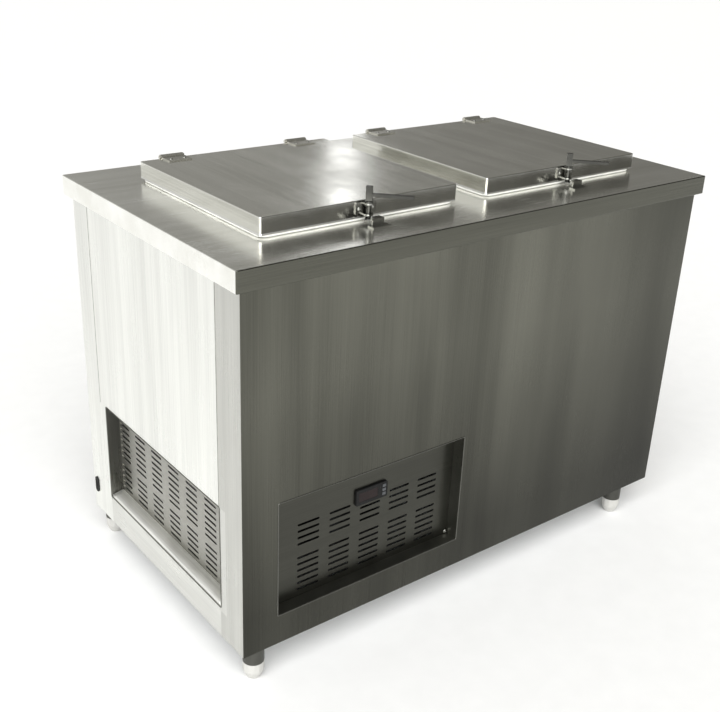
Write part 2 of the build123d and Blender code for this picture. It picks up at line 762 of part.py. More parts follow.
box_x0 = bay_right - 92.0
box_y0 = 110.0
box_y1 = 230.0
with BuildPart() as electrical_box:
    slab(box_x0, bay_right, box_y0, box_y1, pan_top + 30, pan_top + 190)
    fillet(electrical_box.edges().filter_by(Axis.Z), radius=3)
    slab(box_x0 - 2, box_x0, box_y0 - 2, box_y1 + 2, pan_top + 28, pan_top + 192)
electrical_box.part.label = "electrical_box"
export_step(electrical_box.part, "parts/electrical_box.step")

grommet_lip = 2.0
grommet_steps = (              # start, depth, outline
    (body_left - grommet_lip, grommet_lip, grommet_rim),
    (body_left, skin, grommet_neck),
    (inner_left, grommet_lip, grommet_rim),
)
with BuildPart() as cable_grommet:
    for start, depth, outline in grommet_steps:
        with BuildSketch(Plane.YZ.offset(start)):
            with Locations((grommet_y, grommet_z)):
                SlotOverall(*outline, rotation=90)
                SlotOverall(*grommet_slit, rotation=90, mode=Mode.SUBTRACT)
        extrude(amount=depth)
cable_grommet.part.label = "cable_grommet"
export_step(cable_grommet.part, "parts/cable_grommet.step")

probe_x = -300.0
with BuildPart() as temperature_probe:
    rod((probe_x, tank_front - tank_wall - slip - 3, full_levels[0] + 30), 3, 40)
    fillet(temperature_probe.edges().filter_by(GeomType.CIRCLE), radius=1.2)
temperature_probe.part.label = "temperature_probe"
export_step(temperature_probe.part, "parts/temperature_probe.step")

# ================================================================ controller
bezel_depth = 5.0
key_size = (8.0, 6.0)
key_travel = 0.8
key_proud = 1.2
key_x = controller_x + controller_face[0] / 2 - 9
key_names = (("key_up", 9.0), ("key_set", 0.0), ("key_down", -9.0))
window_size = (46.0, 20.0)
window_x = controller_x - 9.0
face_y = front_back_y - bezel_depth
with BuildPart() as controller_housing:
    slab(
        controller_x - controller_face[0] / 2, controller_x + controller_face[0] / 2,
        face_y, front_back_y,
        controller_z - controller_face[1] / 2, controller_z + controller_face[1] / 2,
    )
    fillet(controller_housing.edges().filter_by(Axis.Y), radius=3)
    slab(
        controller_x - controller_body[0] / 2, controller_x + controller_body[0] / 2,
        front_back_y, front_back_y + 62,
        controller_z - controller_body[1] / 2, controller_z + controller_body[1] / 2,
    )
    slab(
        window_x - window_size[0] / 2, window_x + window_size[0] / 2,
        face_y, face_y + 2,
        controller_z - window_size[1] / 2, controller_z + window_size[1] / 2, mode=Mode.SUBTRACT,
    )
    for key_name, key_lift in key_names:
        slab(
            key_x - key_size[0] / 2 - 0.2, key_x + key_size[0] / 2 + 0.2, face_y, face_y + 4,
            controller_z + key_lift - key_size[1] / 2 - 0.2,
            controller_z + key_lift + key_size[1] / 2 + 0.2, mode=Mode.SUBTRACT,
        )
controller_housing.part.label = "controller_housing"
export_step(controller_housing.part, "parts/controller_housing.step")

with BuildPart() as controller_window:
    slab(
        window_x - window_size[0] / 2 + 0.1, window_x + window_size[0] / 2 - 0.1,
        face_y + 0.3, face_y + 2,
        controller_z - window_size[1] / 2 + 0.1, controller_z + window_size[1] / 2 - 0.1,
    )
controller_window.part.label = "controller_window"
export_step(controller_window.part, "parts/controller_window.step")

for key_name, key_lift in key_names:
    with BuildPart() as controller_key:
        slab(
            key_x - key_size[0] / 2, key_x + key_size[0] / 2,
            face_y - key_proud, face_y + 4 - key_travel - 0.2,
            controller_z + key_lift - key_size[1] / 2, controller_z + key_lift + key_size[1] / 2,
        )
        fillet(controller_key.faces().sort_by(Axis.Y)[0].edges(), radius=0.6)
    controller_key.part.label = f"controller_{key_name}"
    export_step(controller_key.part, f"parts/controller_{key_name}.step")

# ================================================================ drain
drain_z = 45.0
valve_y0 = drain_y + 82.0
valve_length = 48.0
outlet_end_y = half_depth - 16.0
elbow_run = bent_tube(
    [
        (drain_x, drain_y, deep_floor - tank_wall),
        (drain_x, drain_y, drain_z),
        (drain_x, valve_y0, drain_z),
    ],
    30, drain_tube,
)
elbow_bore = bent_tube(
    [
        (drain_x, drain_y, deep_floor - tank_wall),
        (drain_x, drain_y, drain_z),
        (drain_x, valve_y0, drain_z),
    ],
    30, drain_bore,
)
with BuildPart() as drain_pipe:
    add(elbow_run)
    rod((drain_x, drain_y, deep_floor - tank_wall - 2), 27, 4)
    add(elbow_bore, mode=Mode.SUBTRACT)
drain_pipe.part.label = "drain_pipe"
export_step(drain_pipe.part, "parts/drain_pipe.step")

stem_x = drain_x + 22.0
valve_middle_y = valve_y0 + valve_length / 2
stem_d = 9.0
with BuildPart() as drain_valve_body:
    rod((drain_x, valve_middle_y, drain_z), 20, valve_length, "Y")
    fillet(drain_valve_body.edges().filter_by(GeomType.CIRCLE), radius=3)
    rod((drain_x, (valve_y0 + valve_length + outlet_end_y) / 2 - 2, drain_z), drain_tube / 2,
        outlet_end_y - valve_y0 - valve_length + 4, "Y")
    rod((drain_x + 14, valve_middle_y, drain_z), 9, 16, "X")
    rod((drain_x, (valve_y0 + valve_length + outlet_end_y) / 2, drain_z), drain_bore / 2,
        outlet_end_y - valve_y0 - valve_length + 20, "Y", Mode.SUBTRACT)
    rod((drain_x + 18, valve_middle_y, drain_z), stem_d / 2 + running_fit, 20, "X", Mode.SUBTRACT)
drain_valve_body.part.label = "drain_valve_body"
export_step(drain_valve_body.part, "parts/drain_valve_body.step")

with BuildPart() as drain_valve_handle:
    rod((drain_x + 20, valve_middle_y, drain_z), stem_d / 2, 22, "X")
    slab(
        drain_x + 27, drain_x + 33, valve_middle_y - 6, valve_middle_y + 6,
        drain_z - 22, drain_z + 22,
    )
    fillet(drain_valve_handle.edges().filter_by(Axis.X).group_by(Axis.Z)[0], radius=3)
    fillet(drain_valve_handle.edges().filter_by(Axis.X).group_by(Axis.Z)[-1], radius=3)
drain_valve_handle.part.label = "drain_valve_handle"
export_step(drain_valve_handle.part, "parts/drain_valve_handle.step")

# ================================================================ hinges
hinge_axis_z = lid_top + hinge_leaf / 2
hinge_axis_y = lid_back + hinge_barrel_d / 2 + 1.0
knuckle_gap = 0.3
middle_knuckle = hinge_width * 0.36
side_knuckle = (hinge_width - middle_knuckle) / 2 - knuckle_gap
leaf_reach = 34.0          # hinge leaf on the lid, from the barrel to its front edge
foot_reach = 30.0          # hinge foot on the tabletop, behind the barrel
base_sheet = 3.0
screw_hole = 5.0
hinge_places = [offset + spread for _, offset in lid_sides for spread in (-hinge_spread, hinge_spread)]

with BuildPart() as hinge_bases:
    for place in hinge_places:
        slab(
            place - hinge_width / 2, place + hinge_width / 2,
            hinge_axis_y + 1.5, hinge_axis_y + foot_reach, top_height, top_height + base_sheet,
        )
        slab(
            place - hinge_width / 2, place + hinge_width / 2,
            hinge_axis_y + 1.5, hinge_axis_y + 1.5 + base_sheet,
            top_height, hinge_axis_z - hinge_barrel_d / 2 - 1,
        )
        for end in (-1, 1):
            knuckle_x = place + end * (hinge_width - side_knuckle) / 2
            slab(
                knuckle_x - side_knuckle / 2, knuckle_x + side_knuckle / 2,
                hinge_axis_y + 1.5, hinge_axis_y + 1.5 + base_sheet, top_height, hinge_axis_z,
            )
            rod((knuckle_x, hinge_axis_y, hinge_axis_z), hinge_barrel_d / 2, side_knuckle, "X")
        rod((place, hinge_axis_y, hinge_axis_z), hinge_pin_d / 2 + slip / 2, 2 * hinge_width, "X",
            Mode.SUBTRACT)
        for end in (-1, 1):
            rod((place + end * hinge_width * 0.3, hinge_axis_y + foot_reach * 0.6, top_height),
                screw_hole / 2, 4 * base_sheet, "Z", Mode.SUBTRACT)
hinge_bases.part.label = "hinge_bases"
export_step(hinge_bases.part, "parts/hinge_bases.step")

with BuildPart() as hinge_pins:
    for place in hinge_places:
        rod((place, hinge_axis_y, hinge_axis_z), hinge_pin_d / 2, hinge_width + 1, "X")
        for end in (-1, 1):
            rod((place + end * (hinge_width / 2 + 1.3), hinge_axis_y, hinge_axis_z),
                hinge_pin_d / 2 + 1, 2, "X")
hinge_pins.part.label = "hinge_pins"
export_step(hinge_pins.part, "parts/hinge_pins.step")

# ================================================================ latches
plate_width = 46.0
plate_sheet = 3.0
ear_sheet = 3.0
spindle_y = lid_front - plate_sheet - 8.0
bracket_z0 = top_height + 13.0
bracket_z1 = lid_top - 3.0
tongue_z0 = top_height + 6.0
tongue_thick = 4.0
tongue_reach = 22.0
tongue_width = 10.0
post_size = 12.0
arm_z0 = lid_top + 9.0
arm_thick = 5.0
post_top = lid_top + 27.0
strike_lip_z = tongue_z0 + tongue_thick + 1.0
strike_y = spindle_y - tongue_reach - 3.0

with BuildPart() as latch_strikes:
    for _, offset in lid_sides:
        slab(offset - 20, offset + 20, strike_y - 16, strike_y, top_height, top_height + base_sheet)
        slab(offset - 12, offset + 14, strike_y - base_sheet, strike_y, top_height, strike_lip_z + 3)
        slab(offset - 2.5, offset + 14, strike_y - base_sheet, strike_y + 12, strike_lip_z, strike_lip_z + 3)
latch_strikes.part.label = "latch_strikes"
export_step(latch_strikes.part, "parts/latch_strikes.step")

# ================================================================ lids, one set for each side
foam_base = lid_base + lid_sheet
for side, offset in lid_sides:
    lid_x0 = offset - lid_width / 2
    lid_x1 = offset + lid_width / 2
    with BuildPart() as lid_shell:
        slab(lid_x0, lid_x1, lid_front, lid_back, lid_base, lid_top)
        fillet(lid_shell.edges().filter_by(Axis.Z), radius=5)
        fillet(lid_shell.faces().sort_by(Axis.Z)[-1].edges(), radius=2)
        slab(
            lid_x0 + lid_sheet, lid_x1 - lid_sheet, lid_front + lid_sheet, lid_back - lid_sheet,
            lid_base, lid_top - lid_sheet, mode=Mode.SUBTRACT,
        )
    lid_shell.part.label = f"lid_{side}_shell"
    export_step(lid_shell.part, f"parts/lid_{side}_shell.step")

    with BuildPart() as lid_foam:
        slab(
            lid_x0 + lid_sheet + slip, lid_x1 - lid_sheet - slip,
            lid_front + lid_sheet + slip, lid_back - lid_sheet - slip,
            foam_base + slip, lid_top - lid_sheet - slip,
        )
    lid_foam.part.label = f"lid_{side}_foam"
    export_step(lid_foam.part, f"parts/lid_{side}_foam.step")

    with BuildPart() as lid_liner:
        slab(
            lid_x0 + lid_sheet, lid_x1 - lid_sheet, lid_front + lid_sheet, lid_back - lid_sheet,
            lid_base, foam_base,
        )
    lid_liner.part.label = f"lid_{side}_liner"
    export_step(lid_liner.part, f"parts/lid_{side}_liner.step")

    with BuildPart() as lid_gasket:
        with BuildSketch(Plane.XY.offset(top_height + slip)):
            with Locations((offset, lid_middle_y)):
                RectangleRounded(lid_width - 4, lid_depth - 4, 6)
                RectangleRounded(
                    lid_width - 4 - 2 * seal_width, lid_depth - 4 - 2 * seal_width, 4,
                    mode=Mode.SUBTRACT,
                )
        extrude(amount=seal_height - slip)
    lid_gasket.part.label = f"lid_{side}_gasket"
    export_step(lid_gasket.part, f"parts/lid_{side}_gasket.step")

    with BuildPart() as hinge_leaves:
        for spread in (-hinge_spread, hinge_spread):
            place = offset + spread
            slab(
                place - hinge_width / 2, place + hinge_width / 2,
                lid_back - leaf_reach, hinge_axis_y - hinge_barrel_d / 2 - 0.6,
                lid_top, lid_top + hinge_leaf,
            )
            slab(
                place - middle_knuckle / 2, place + middle_knuckle / 2,
                lid_back - leaf_reach, hinge_axis_y, lid_top, lid_top + hinge_leaf,
            )
            rod((place, hinge_axis_y, hinge_axis_z), hinge_barrel_d / 2, middle_knuckle, "X")
            rod((place, hinge_axis_y, hinge_axis_z), hinge_pin_d / 2 + running_fit,
                2 * hinge_width, "X", Mode.SUBTRACT)
            for end in (-1, 1):
                rod((place + end * hinge_width * 0.3, lid_back - leaf_reach * 0.6, lid_top),
                    screw_hole / 2, 4 * base_sheet, "Z", Mode.SUBTRACT)
    hinge_leaves.part.label = f"hinge_leaves_{side}"
    export_step(hinge_leaves.part, f"parts/hinge_leaves_{side}.step")

    with BuildPart() as latch_bracket:
        slab(
            offset - plate_width / 2, offset + plate_width / 2, lid_front - plate_sheet, lid_front,
            bracket_z0, bracket_z1,
        )
        fillet(latch_bracket.edges().filter_by(Axis.Y), radius=4)
        for ear_z in (bracket_z0, bracket_z1 - ear_sheet):
            with BuildSketch(Plane.XY.offset(ear_z)):
                with Locations((offset, spindle_y)):
                    Circle(9)
                with Locations((offset, (spindle_y + lid_front - plate_sheet) / 2)):
                    Rectangle(18, lid_front - plate_sheet - spindle_y)
            extrude(amount=ear_sheet)
        rod((offset, spindle_y, lid_top), spindle_d / 2 + running_fit, 4 * lid_rise, "Z", Mode.SUBTRACT)
        for end in (-1, 1):
            rod((offset + end * plate_width * 0.34, lid_front, (bracket_z0 + bracket_z1) / 2),
                screw_hole / 2, 4 * plate_sheet, "Y", Mode.SUBTRACT)
    latch_bracket.part.label = f"latch_bracket_{side}"
    export_step(latch_bracket.part, f"parts/latch_bracket_{side}.step")

    arm_way = Location((offset, spindle_y, arm_z0), (0, 0, -handle_angle))
    tongue_way = Location((offset, spindle_y, tongue_z0), (0, 0, -handle_angle - 90))
    with BuildPart() as latch_lever:
        rod((offset, spindle_y, (tongue_z0 + lid_top + 2) / 2), spindle_d / 2, lid_top + 2 - tongue_z0)
        rod((offset, spindle_y, bracket_z1 + 1.5), 8, 3 - 2 * 0.2)
        with Locations(arm_way * Location((0, 0, (post_top + lid_top + 1) / 2 - arm_z0))):
            Box(post_size, post_size * 0.8, post_top - lid_top - 1)
        with Locations(arm_way * Location((handle_reach / 2, 0, arm_thick / 2))):
            Box(handle_reach, post_size * 0.8, arm_thick)
        with Locations(arm_way * Location((handle_reach, 0, arm_thick / 2))):
            Cylinder(post_size * 0.4, arm_thick)
        with Locations(tongue_way * Location((tongue_reach / 2, 0, tongue_thick / 2))):
            Box(tongue_reach, tongue_width, tongue_thick)
    latch_lever.part.label = f"latch_lever_{side}"
    export_step(latch_lever.part, f"parts/latch_lever_{side}.step")
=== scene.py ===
import bmesh
import bpy
import numpy as np
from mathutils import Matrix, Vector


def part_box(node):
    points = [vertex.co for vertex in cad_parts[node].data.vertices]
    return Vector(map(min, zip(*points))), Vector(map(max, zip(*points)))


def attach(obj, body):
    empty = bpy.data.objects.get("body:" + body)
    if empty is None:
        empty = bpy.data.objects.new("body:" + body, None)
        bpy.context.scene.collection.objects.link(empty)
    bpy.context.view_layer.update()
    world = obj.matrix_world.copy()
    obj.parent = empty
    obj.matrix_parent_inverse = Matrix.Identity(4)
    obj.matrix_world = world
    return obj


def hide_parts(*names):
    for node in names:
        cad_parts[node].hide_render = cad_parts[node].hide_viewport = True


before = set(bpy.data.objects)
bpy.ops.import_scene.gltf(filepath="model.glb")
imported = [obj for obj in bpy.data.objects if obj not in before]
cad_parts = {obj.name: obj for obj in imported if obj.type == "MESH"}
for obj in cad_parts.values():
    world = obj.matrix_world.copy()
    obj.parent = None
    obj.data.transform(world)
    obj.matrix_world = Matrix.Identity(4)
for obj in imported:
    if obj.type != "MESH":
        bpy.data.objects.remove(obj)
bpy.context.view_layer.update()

bl_info = {
    "name": "Bulk Milk Tank Looks",
    "version": (1, 0, 0),
    "blender": (4, 5, 0),
    "location": "View3D > Sidebar > Milk Tank",
    "description": "Finishes, trim and stage for a chest-type milk cooling tank",
    "category": "Object",
}

MM = 0.001
SLIP = 0.0003             # gap left where a piece meets its seat
SKIN = 0.0015             # thickness of the cabinet's sheets
GRILLE_FLANGE = 0.020     # flange at the front of the side grille's frame
GRILLE_LIP = 0.008        # lip along the foot of the side grille's frame
HINGE_HALF = 0.025        # half the width of a hinge
HINGE_SCREW_X = 0.015     # a hinge screw from the hinge's middle
LEAF_SCREW_Y = 0.0204     # a leaf screw in front of the lid's back edge
LEAF_SHEET = 0.0024       # thickness of a hinge leaf
BASE_SCREW_Y = 0.012      # a base screw in front of the hinge base's back edge
PLATE_SCREW_X = 0.01564   # a latch plate's screw from the plate's middle
PLATE_SHEET = 0.003       # thickness of the hinge bases and the latch plates
SMALL_SCREW = 0.0036      # radius of the screw heads on hinges and latch plates
FOOT_RADIUS = 0.021
UNDER_LIP = 0.036         # height of the end sheets hidden behind the tabletop's lip


# ------------------------------------------------------------------ sizes and colours
class TankFinishSettings(bpy.types.PropertyGroup):
    side_steel: bpy.props.FloatVectorProperty(
        name="Side steel", description="Colour of the cabinet's end and back sheets",
        subtype="COLOR", size=3, min=0, max=1, default=(0.84, 0.845, 0.81),
    )
    # painted shade: the dark colour given to the front sheet's face and the tabletop's front lip in place of
    # their lit steel tone
    front_face_shade: bpy.props.FloatVectorProperty(
        name="Front face shade", description="Colour of the front sheet's face",
        subtype="COLOR", size=3, min=0, max=1, default=(0.115, 0.115, 0.097),
    )
    top_steel: bpy.props.FloatVectorProperty(
        name="Top steel", description="Colour of the tabletop and lids",
        subtype="COLOR", size=3, min=0, max=1, default=(0.86, 0.855, 0.80),
    )
    grille_steel: bpy.props.FloatVectorProperty(
        name="Grille steel", description="Colour of the slotted plates",
        subtype="COLOR", size=3, min=0, max=1, default=(0.35, 0.345, 0.315),
    )
    # painted shade: the front sheet's returns round the corners, a darkened copy of the end sheets' colour
    corner_shade: bpy.props.FloatVectorProperty(
        name="Corner shade", description="Colour of the front sheet's returns round the corners",
        subtype="COLOR", size=3, min=0, max=1, default=(0.56, 0.56, 0.53),
    )
    # painted shade: the dark colour of the recessed front slotted plate in place of its lit steel tone
    front_grille_shade: bpy.props.FloatVectorProperty(
        name="Front grille shade", description="Colour of the front slotted plate",
        subtype="COLOR", size=3, min=0, max=1, default=(0.070, 0.070, 0.060),
    )
    grain_depth: bpy.props.FloatProperty(
        name="Grain depth", description="Depth of the brushed grain",
        subtype="DISTANCE", default=0.00003, min=0, max=0.001, precision=6,
    )


class TankTrimSettings(bpy.types.PropertyGroup):
    hem_radius: bpy.props.FloatProperty(
        name="Hem radius", description="Radius of the rolled lower edge of the tabletop",
        subtype="DISTANCE", default=0.0014, min=0.0005, max=0.004, precision=4,
    )
    lid_hem_radius: bpy.props.FloatProperty(
        name="Lid hem radius", description="Radius of the rolled lower edge of each lid",
        subtype="DISTANCE", default=0.0022, min=0.0005, max=0.004, precision=4,
    )
    bead_radius: bpy.props.FloatProperty(
        name="Bead radius", description="Radius of the rolled bead round each grille opening",
        subtype="DISTANCE", default=0.0011, min=0.0005, max=0.003, precision=4,
    )
    screw_radius: bpy.props.FloatProperty(
        name="Screw head radius", description="Radius of the domed screw heads",
        subtype="DISTANCE", default=0.0042, min=0.001, max=0.008, precision=4,
    )
    foot_flutes: bpy.props.IntProperty(
        name="Foot flutes", description="Grip flutes round each levelling foot", default=12, min=4, max=24,
    )
    flute_depth: bpy.props.FloatProperty(
        name="Flute depth", description="Depth of the grip flutes",
        subtype="DISTANCE", default=0.0009, min=0, max=0.003, precision=4,
    )


class TankStageSettings(bpy.types.PropertyGroup):
    floor_colour: bpy.props.FloatVectorProperty(
        name="Floor", description="Colour of the floor", subtype="COLOR", size=3, min=0, max=1,
        default=(0.88, 0.88, 0.875),
    )
    key_power: bpy.props.FloatProperty(
        name="Key power", description="Strength of the broad light from the front left", default=3.6, min=0,
    )
    key_spread: bpy.props.FloatProperty(
        name="Key spread", description="Angular width of the broad light",
        subtype="ANGLE", default=1.3, min=0, max=3.14,
    )
    strip_power: bpy.props.FloatProperty(
        name="Strip power", description="Brightness of the narrow upright light behind the tank",
        default=2.1, min=0,
    )
    strip_heading: bpy.props.FloatProperty(
        name="Strip heading", description="Heading of the upright light, from the back towards the right",
        subtype="ANGLE", default=0.646, min=-3.14, max=3.14,
    )
    strip_width: bpy.props.FloatProperty(
        name="Strip width", description="Half the angular width of the upright light",
        subtype="ANGLE", default=0.016, min=0.001, max=0.5,
    )
    room_power: bpy.props.FloatProperty(
        name="Room power", description="Strength of the light from the room all round", default=0.75, min=0,
    )
    backdrop_power: bpy.props.FloatProperty(
        name="Backdrop power", description="Brightness of the backdrop that the camera sees",
        default=1.4, min=0,
    )


# ------------------------------------------------------------------ material building
def add_node(tree, kind, inputs=None, **settings):
    """A node with its settings made, then each input linked where it is given a socket, or set to a value."""
    node = tree.nodes.new(kind)
    for key, value in settings.items():
        setattr(node, key, value)
    for key, value in (inputs or {}).items():
        if isinstance(value, bpy.types.NodeSocket):
            tree.links.new(value, node.inputs[key])
        else:
            node.inputs[key].default_value = value
    return node


def stretched(along, on, across):
    """Noise scale per axis: on along the grain, across over it."""
    return tuple(on if axis == along else across for axis in "XYZ")


class Shade:
    """A material under construction, with short calls for the nodes it needs."""

    def __init__(self, name):
        self.material = bpy.data.materials.new(name)
        self.material.use_nodes = True
        self.tree = self.material.node_tree
        self.shader = self.tree.nodes["Principled BSDF"]
        self.coordinates = add_node(self.tree, "ShaderNodeTexCoord").outputs["Object"]

    def fix(self, **values):
        """Constants on the shader's own sockets."""
        for key, value in values.items():
            self.shader.inputs[key.replace("_", " ")].default_value = value

    def noise(self, stretch, scale, detail, rough):
        """Noise on Object coordinates, stretched per axis."""
        mapping = add_node(self.tree, "ShaderNodeMapping", {"Vector": self.coordinates, "Scale": stretch})
        return add_node(self.tree, "ShaderNodeTexNoise", {
            "Vector": mapping.outputs["Vector"], "Scale": scale, "Detail": detail, "Roughness": rough,
        }).outputs["Fac"]

    def spread(self, value, low, high, out_low=0.0, out_high=1.0):
        """Value carried linearly from one range to another, clamped."""
        return add_node(self.tree, "ShaderNodeMapRange", {
            "Value": value, "From Min": low, "From Max": high, "To Min": out_low, "To Max": out_high,
        }).outputs["Result"]

    def math(self, kind, first, second):
        """Two values or sockets added, multiplied and so on."""
        return add_node(self.tree, "ShaderNodeMath", {0: first, 1: second}, operation=kind).outputs[0]

    def weighted(self, first, first_share, second, second_share):
        """Sum of two sockets, each times its share."""
        return self.math(
            "ADD", self.math("MULTIPLY", first, first_share), self.math("MULTIPLY", second, second_share),
        )

    def blend(self, factor, first, second):
        """Colour mix of two colours or sockets."""
        first, second = (
            (*value[:3], 1) if isinstance(value, tuple) else value for value in (first, second)
        )
        return add_node(
            self.tree, "ShaderNodeMix", {"Factor": factor, 6: first, 7: second}, data_type="RGBA",
        ).outputs[2]

    def axis(self, name):
        """One Object coordinate."""
        return add_node(self.tree, "ShaderNodeSeparateXYZ", {0: self.coordinates}).outputs[name]

    def colour(self, socket):
        self.tree.links.new(socket, self.shader.inputs["Base Color"])

    def roughness(self, socket):
        self.tree.links.new(socket, self.shader.inputs["Roughness"])

    def bump(self, height, distance, strength):
        node = add_node(self.tree, "ShaderNodeBump", {
            "Strength": strength, "Distance": distance, "Height": height,
        })
        self.tree.links.new(node.outputs["Normal"], self.shader.inputs["Normal"])


def tone(colour, share):
    """A colour made lighter or darker, no channel above full."""
    return tuple(min(1.0, c * share) for c in colour)


def brushed(name, colour, along, rough, depth, face_colour=None, face_y=0.0, cloud=0.0, painted_fade=()):
    """Brushed sheet: fine streaks along one axis, faint broad patches, and wiped smudges in the gloss.
    face_colour tones what lies in front of the plane face_y. The callers use these two colours for painted
    shade on the faces turned from the light. On that face, cloud is the strength of the long soft patches that
    polishing leaves along the grain, and painted_fade holds (axis, start, end, share) for each direction in
    which the face darkens as painted shade."""
    shade = Shade(name)
    streak = shade.noise(stretched(along, 4, 900), 1.0, 4.0, 0.6)
    band = shade.noise(stretched(along, 1, 22), 1.0, 3.0, 0.5)
    smudge = shade.noise((1, 1, 1), 7.0, 5.0, 0.6)
    factor = shade.spread(shade.weighted(streak, 0.55, band, 0.45), 0.36, 0.64)
    body = shade.blend(factor, tone(colour, 0.84), tone(colour, 1.1))
    if face_colour is not None:
        edge = 0.3 * MM
        face = shade.blend(factor, tone(face_colour, 0.82), tone(face_colour, 1.16))
        mask = shade.spread(shade.axis("Y"), face_y - edge, face_y + edge)
        if cloud:
            drift = shade.noise(stretched(along, 0.7, 4), 1.0, 2.0, 0.45)
            drift = shade.math("MULTIPLY", shade.spread(drift, 0.42, 0.66), cloud)
            face = shade.blend(drift, face, tone(face_colour, 3.0))
        # painted shade: the face darkens towards the end of each listed axis range
        for axis, start, end, share in painted_fade:
            fall = shade.spread(shade.axis(axis), start, end, 0.0, 1.0 - share)
            face = shade.blend(fall, face, tone(face_colour, 0.02))
        body = shade.blend(mask, face, body)
    shade.colour(body)
    shade.roughness(shade.spread(
        shade.weighted(smudge, 0.6, streak, 0.4), 0.35, 0.65, rough - 0.07, rough + 0.09,
    ))
    shade.bump(streak, depth, 0.6)
    shade.fix(Metallic=1.0)
    return shade.material


def grained(
    name, colour, rough, metal=0.0, size=900.0, depth=0.00004, wear=0.12, coat=0.0, specular=0.5,
):
    """Moulded or cast surface: fine grain, soft patches of tone, and a little dust in the gloss."""
    shade = Shade(name)
    fine = shade.noise((1, 1, 1), size, 3.0, 0.6)
    patch = shade.noise((1, 1, 1), 18.0, 5.0, 0.6)
    shade.colour(shade.blend(
        shade.spread(patch, 0.35, 0.65), tone(colour, 1 - wear), tone(colour, 1 + wear),
    ))
    shade.roughness(shade.spread(patch, 0.3, 0.7, rough - 0.06, rough + 0.08))
    shade.bump(fine, depth, 0.5)
    shade.fix(Metallic=metal, Specular_IOR_Level=specular)
    if coat:
        shade.fix(Coat_Weight=coat, Coat_Roughness=0.12)
    return shade.material


def paint_node(node, material):
    """One material on a CAD node, on its object's slot."""
    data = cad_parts[node]
    if not data.material_slots:
        data.data.materials.append(material)
    for slot in data.material_slots:
        slot.link = "OBJECT"
        slot.material = material


# ------------------------------------------------------------------ surfaces
def grid_mesh(name, points, close_u=False, close_v=False):
    """A mesh from an array of points, rows along u and columns along v. Open ends of a closed v ring are
    capped with one face each."""
    rows, columns = points.shape[:2]
    index = np.arange(rows * columns).reshape(rows, columns)
    u = np.arange(rows if close_u else rows - 1)
    v = np.arange(columns if close_v else columns - 1)
    a = index[u][:, v]
    b = index[(u + 1) % rows][:, v]
    c = index[(u + 1) % rows][:, (v + 1) % columns]
    d = index[u][:, (v + 1) % columns]
    faces = np.stack([a, b, c, d], -1).reshape(-1, 4).tolist()
    if close_v and not close_u:
        faces += [index[0].tolist(), index[-1][::-1].tolist()]
    mesh = bpy.data.meshes.new(name)
    mesh.from_pydata(points.reshape(-1, 3).tolist(), [], faces)
    mesh.validate()
    mesh.update()
    return mesh


def merged(name, meshes):
    """Several meshes as one object's mesh."""
    points, faces, start = [], [], 0
    for mesh in meshes:
        co = np.zeros(len(mesh.vertices) * 3)
        mesh.vertices.foreach_get("co", co)
        points.append(co.reshape(-1, 3))
        faces += [[start + i for i in face.vertices] for face in mesh.polygons]
        start += len(mesh.vertices)
    joined = bpy.data.meshes.new(name)
    joined.from_pydata(np.concatenate(points).tolist(), [], faces)
    joined.update()
    for mesh in meshes:
        bpy.data.meshes.remove(mesh)
    return joined


def outward(mesh):
    """Turns every face of each closed shell outwards."""
    work = bmesh.new()
    work.from_mesh(mesh)
    bmesh.ops.recalc_face_normals(work, faces=work.faces)
    work.to_mesh(mesh)
    work.free()


def place(name, mesh, body, material, replaced=()):
    """The finished piece: at the origin, smooth, riding on its body."""
    outward(mesh)
    mesh.shade_smooth()
    piece = bpy.data.objects.new(name, mesh)
    bpy.context.scene.collection.objects.link(piece)
    mesh.materials.append(material)
    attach(piece, body)
    if replaced:
        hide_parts(*replaced)
    return piece


def circle(radius, steps):
    """Points round a circle: (r cos a, r sin a)."""
    angle = np.linspace(0, 2 * np.pi, steps, endpoint=False)
    return radius * np.stack([np.cos(angle), np.sin(angle)], -1)


def rounded_ring(x0, x1, y0, y1, radius, steps=8):
    """Points and outward directions round a rectangle with round corners, counter-clockwise: each corner's
    centre + radius * (cos a, sin a) over a quarter turn."""
    quarter = np.linspace(0, np.pi / 2, steps)
    corners = np.array([
        (x1 - radius, y1 - radius), (x0 + radius, y1 - radius),
        (x0 + radius, y0 + radius), (x1 - radius, y0 + radius),
    ])
    angle = quarter[None, :] + np.arange(4)[:, None] * np.pi / 2
    way = np.stack([np.cos(angle), np.sin(angle)], -1)
    return (corners[:, None, :] + radius * way).reshape(-1, 2), way.reshape(-1, 2)


def ring_profile(name, ring, profile, order=(0, 1, 2)):
    """A closed profile (outward offset, height) carried round a ring: point = ring + outward * offset, then
    height. order says which of the three numbers becomes X, Y and Z."""
    points, way = ring
    flat = points[:, None, :] + way[:, None, :] * profile[None, :, 0:1]
    height = np.broadcast_to(profile[None, :, 1:2], flat.shape[:2] + (1,))
    spots = np.concatenate([flat, height], -1)[..., list(order)]
    return grid_mesh(name, spots, close_u=True, close_v=True)


def turned(name, centre, profile, axis, steps, flutes=0, flute_depth=0.0, flute_band=(0.0, 0.0)):
    """A profile (radius, height) turned about an axis. Inside the flute band, two heights, the radius
    loses flute_depth * (1 - cos(flutes * angle)) / 2."""
    angle = np.linspace(0, 2 * np.pi, steps, endpoint=False)
    radius = np.repeat(profile[:, 0:1], steps, 1)
    if flutes:
        inside = ((profile[:, 1] >= flute_band[0]) & (profile[:, 1] <= flute_band[1]))[:, None]
        radius = radius - inside * flute_depth * (1 - np.cos(flutes * angle))[None, :] / 2
    along = np.repeat(profile[:, 1:2], steps, 1)
    first, second = radius * np.cos(angle), radius * np.sin(angle)
    order = {"Z": (first, second, along), "Y": (second, along, first), "X": (along, first, second)}[axis]
    return grid_mesh(name, np.stack(order, -1) + np.array(centre), close_v=True)


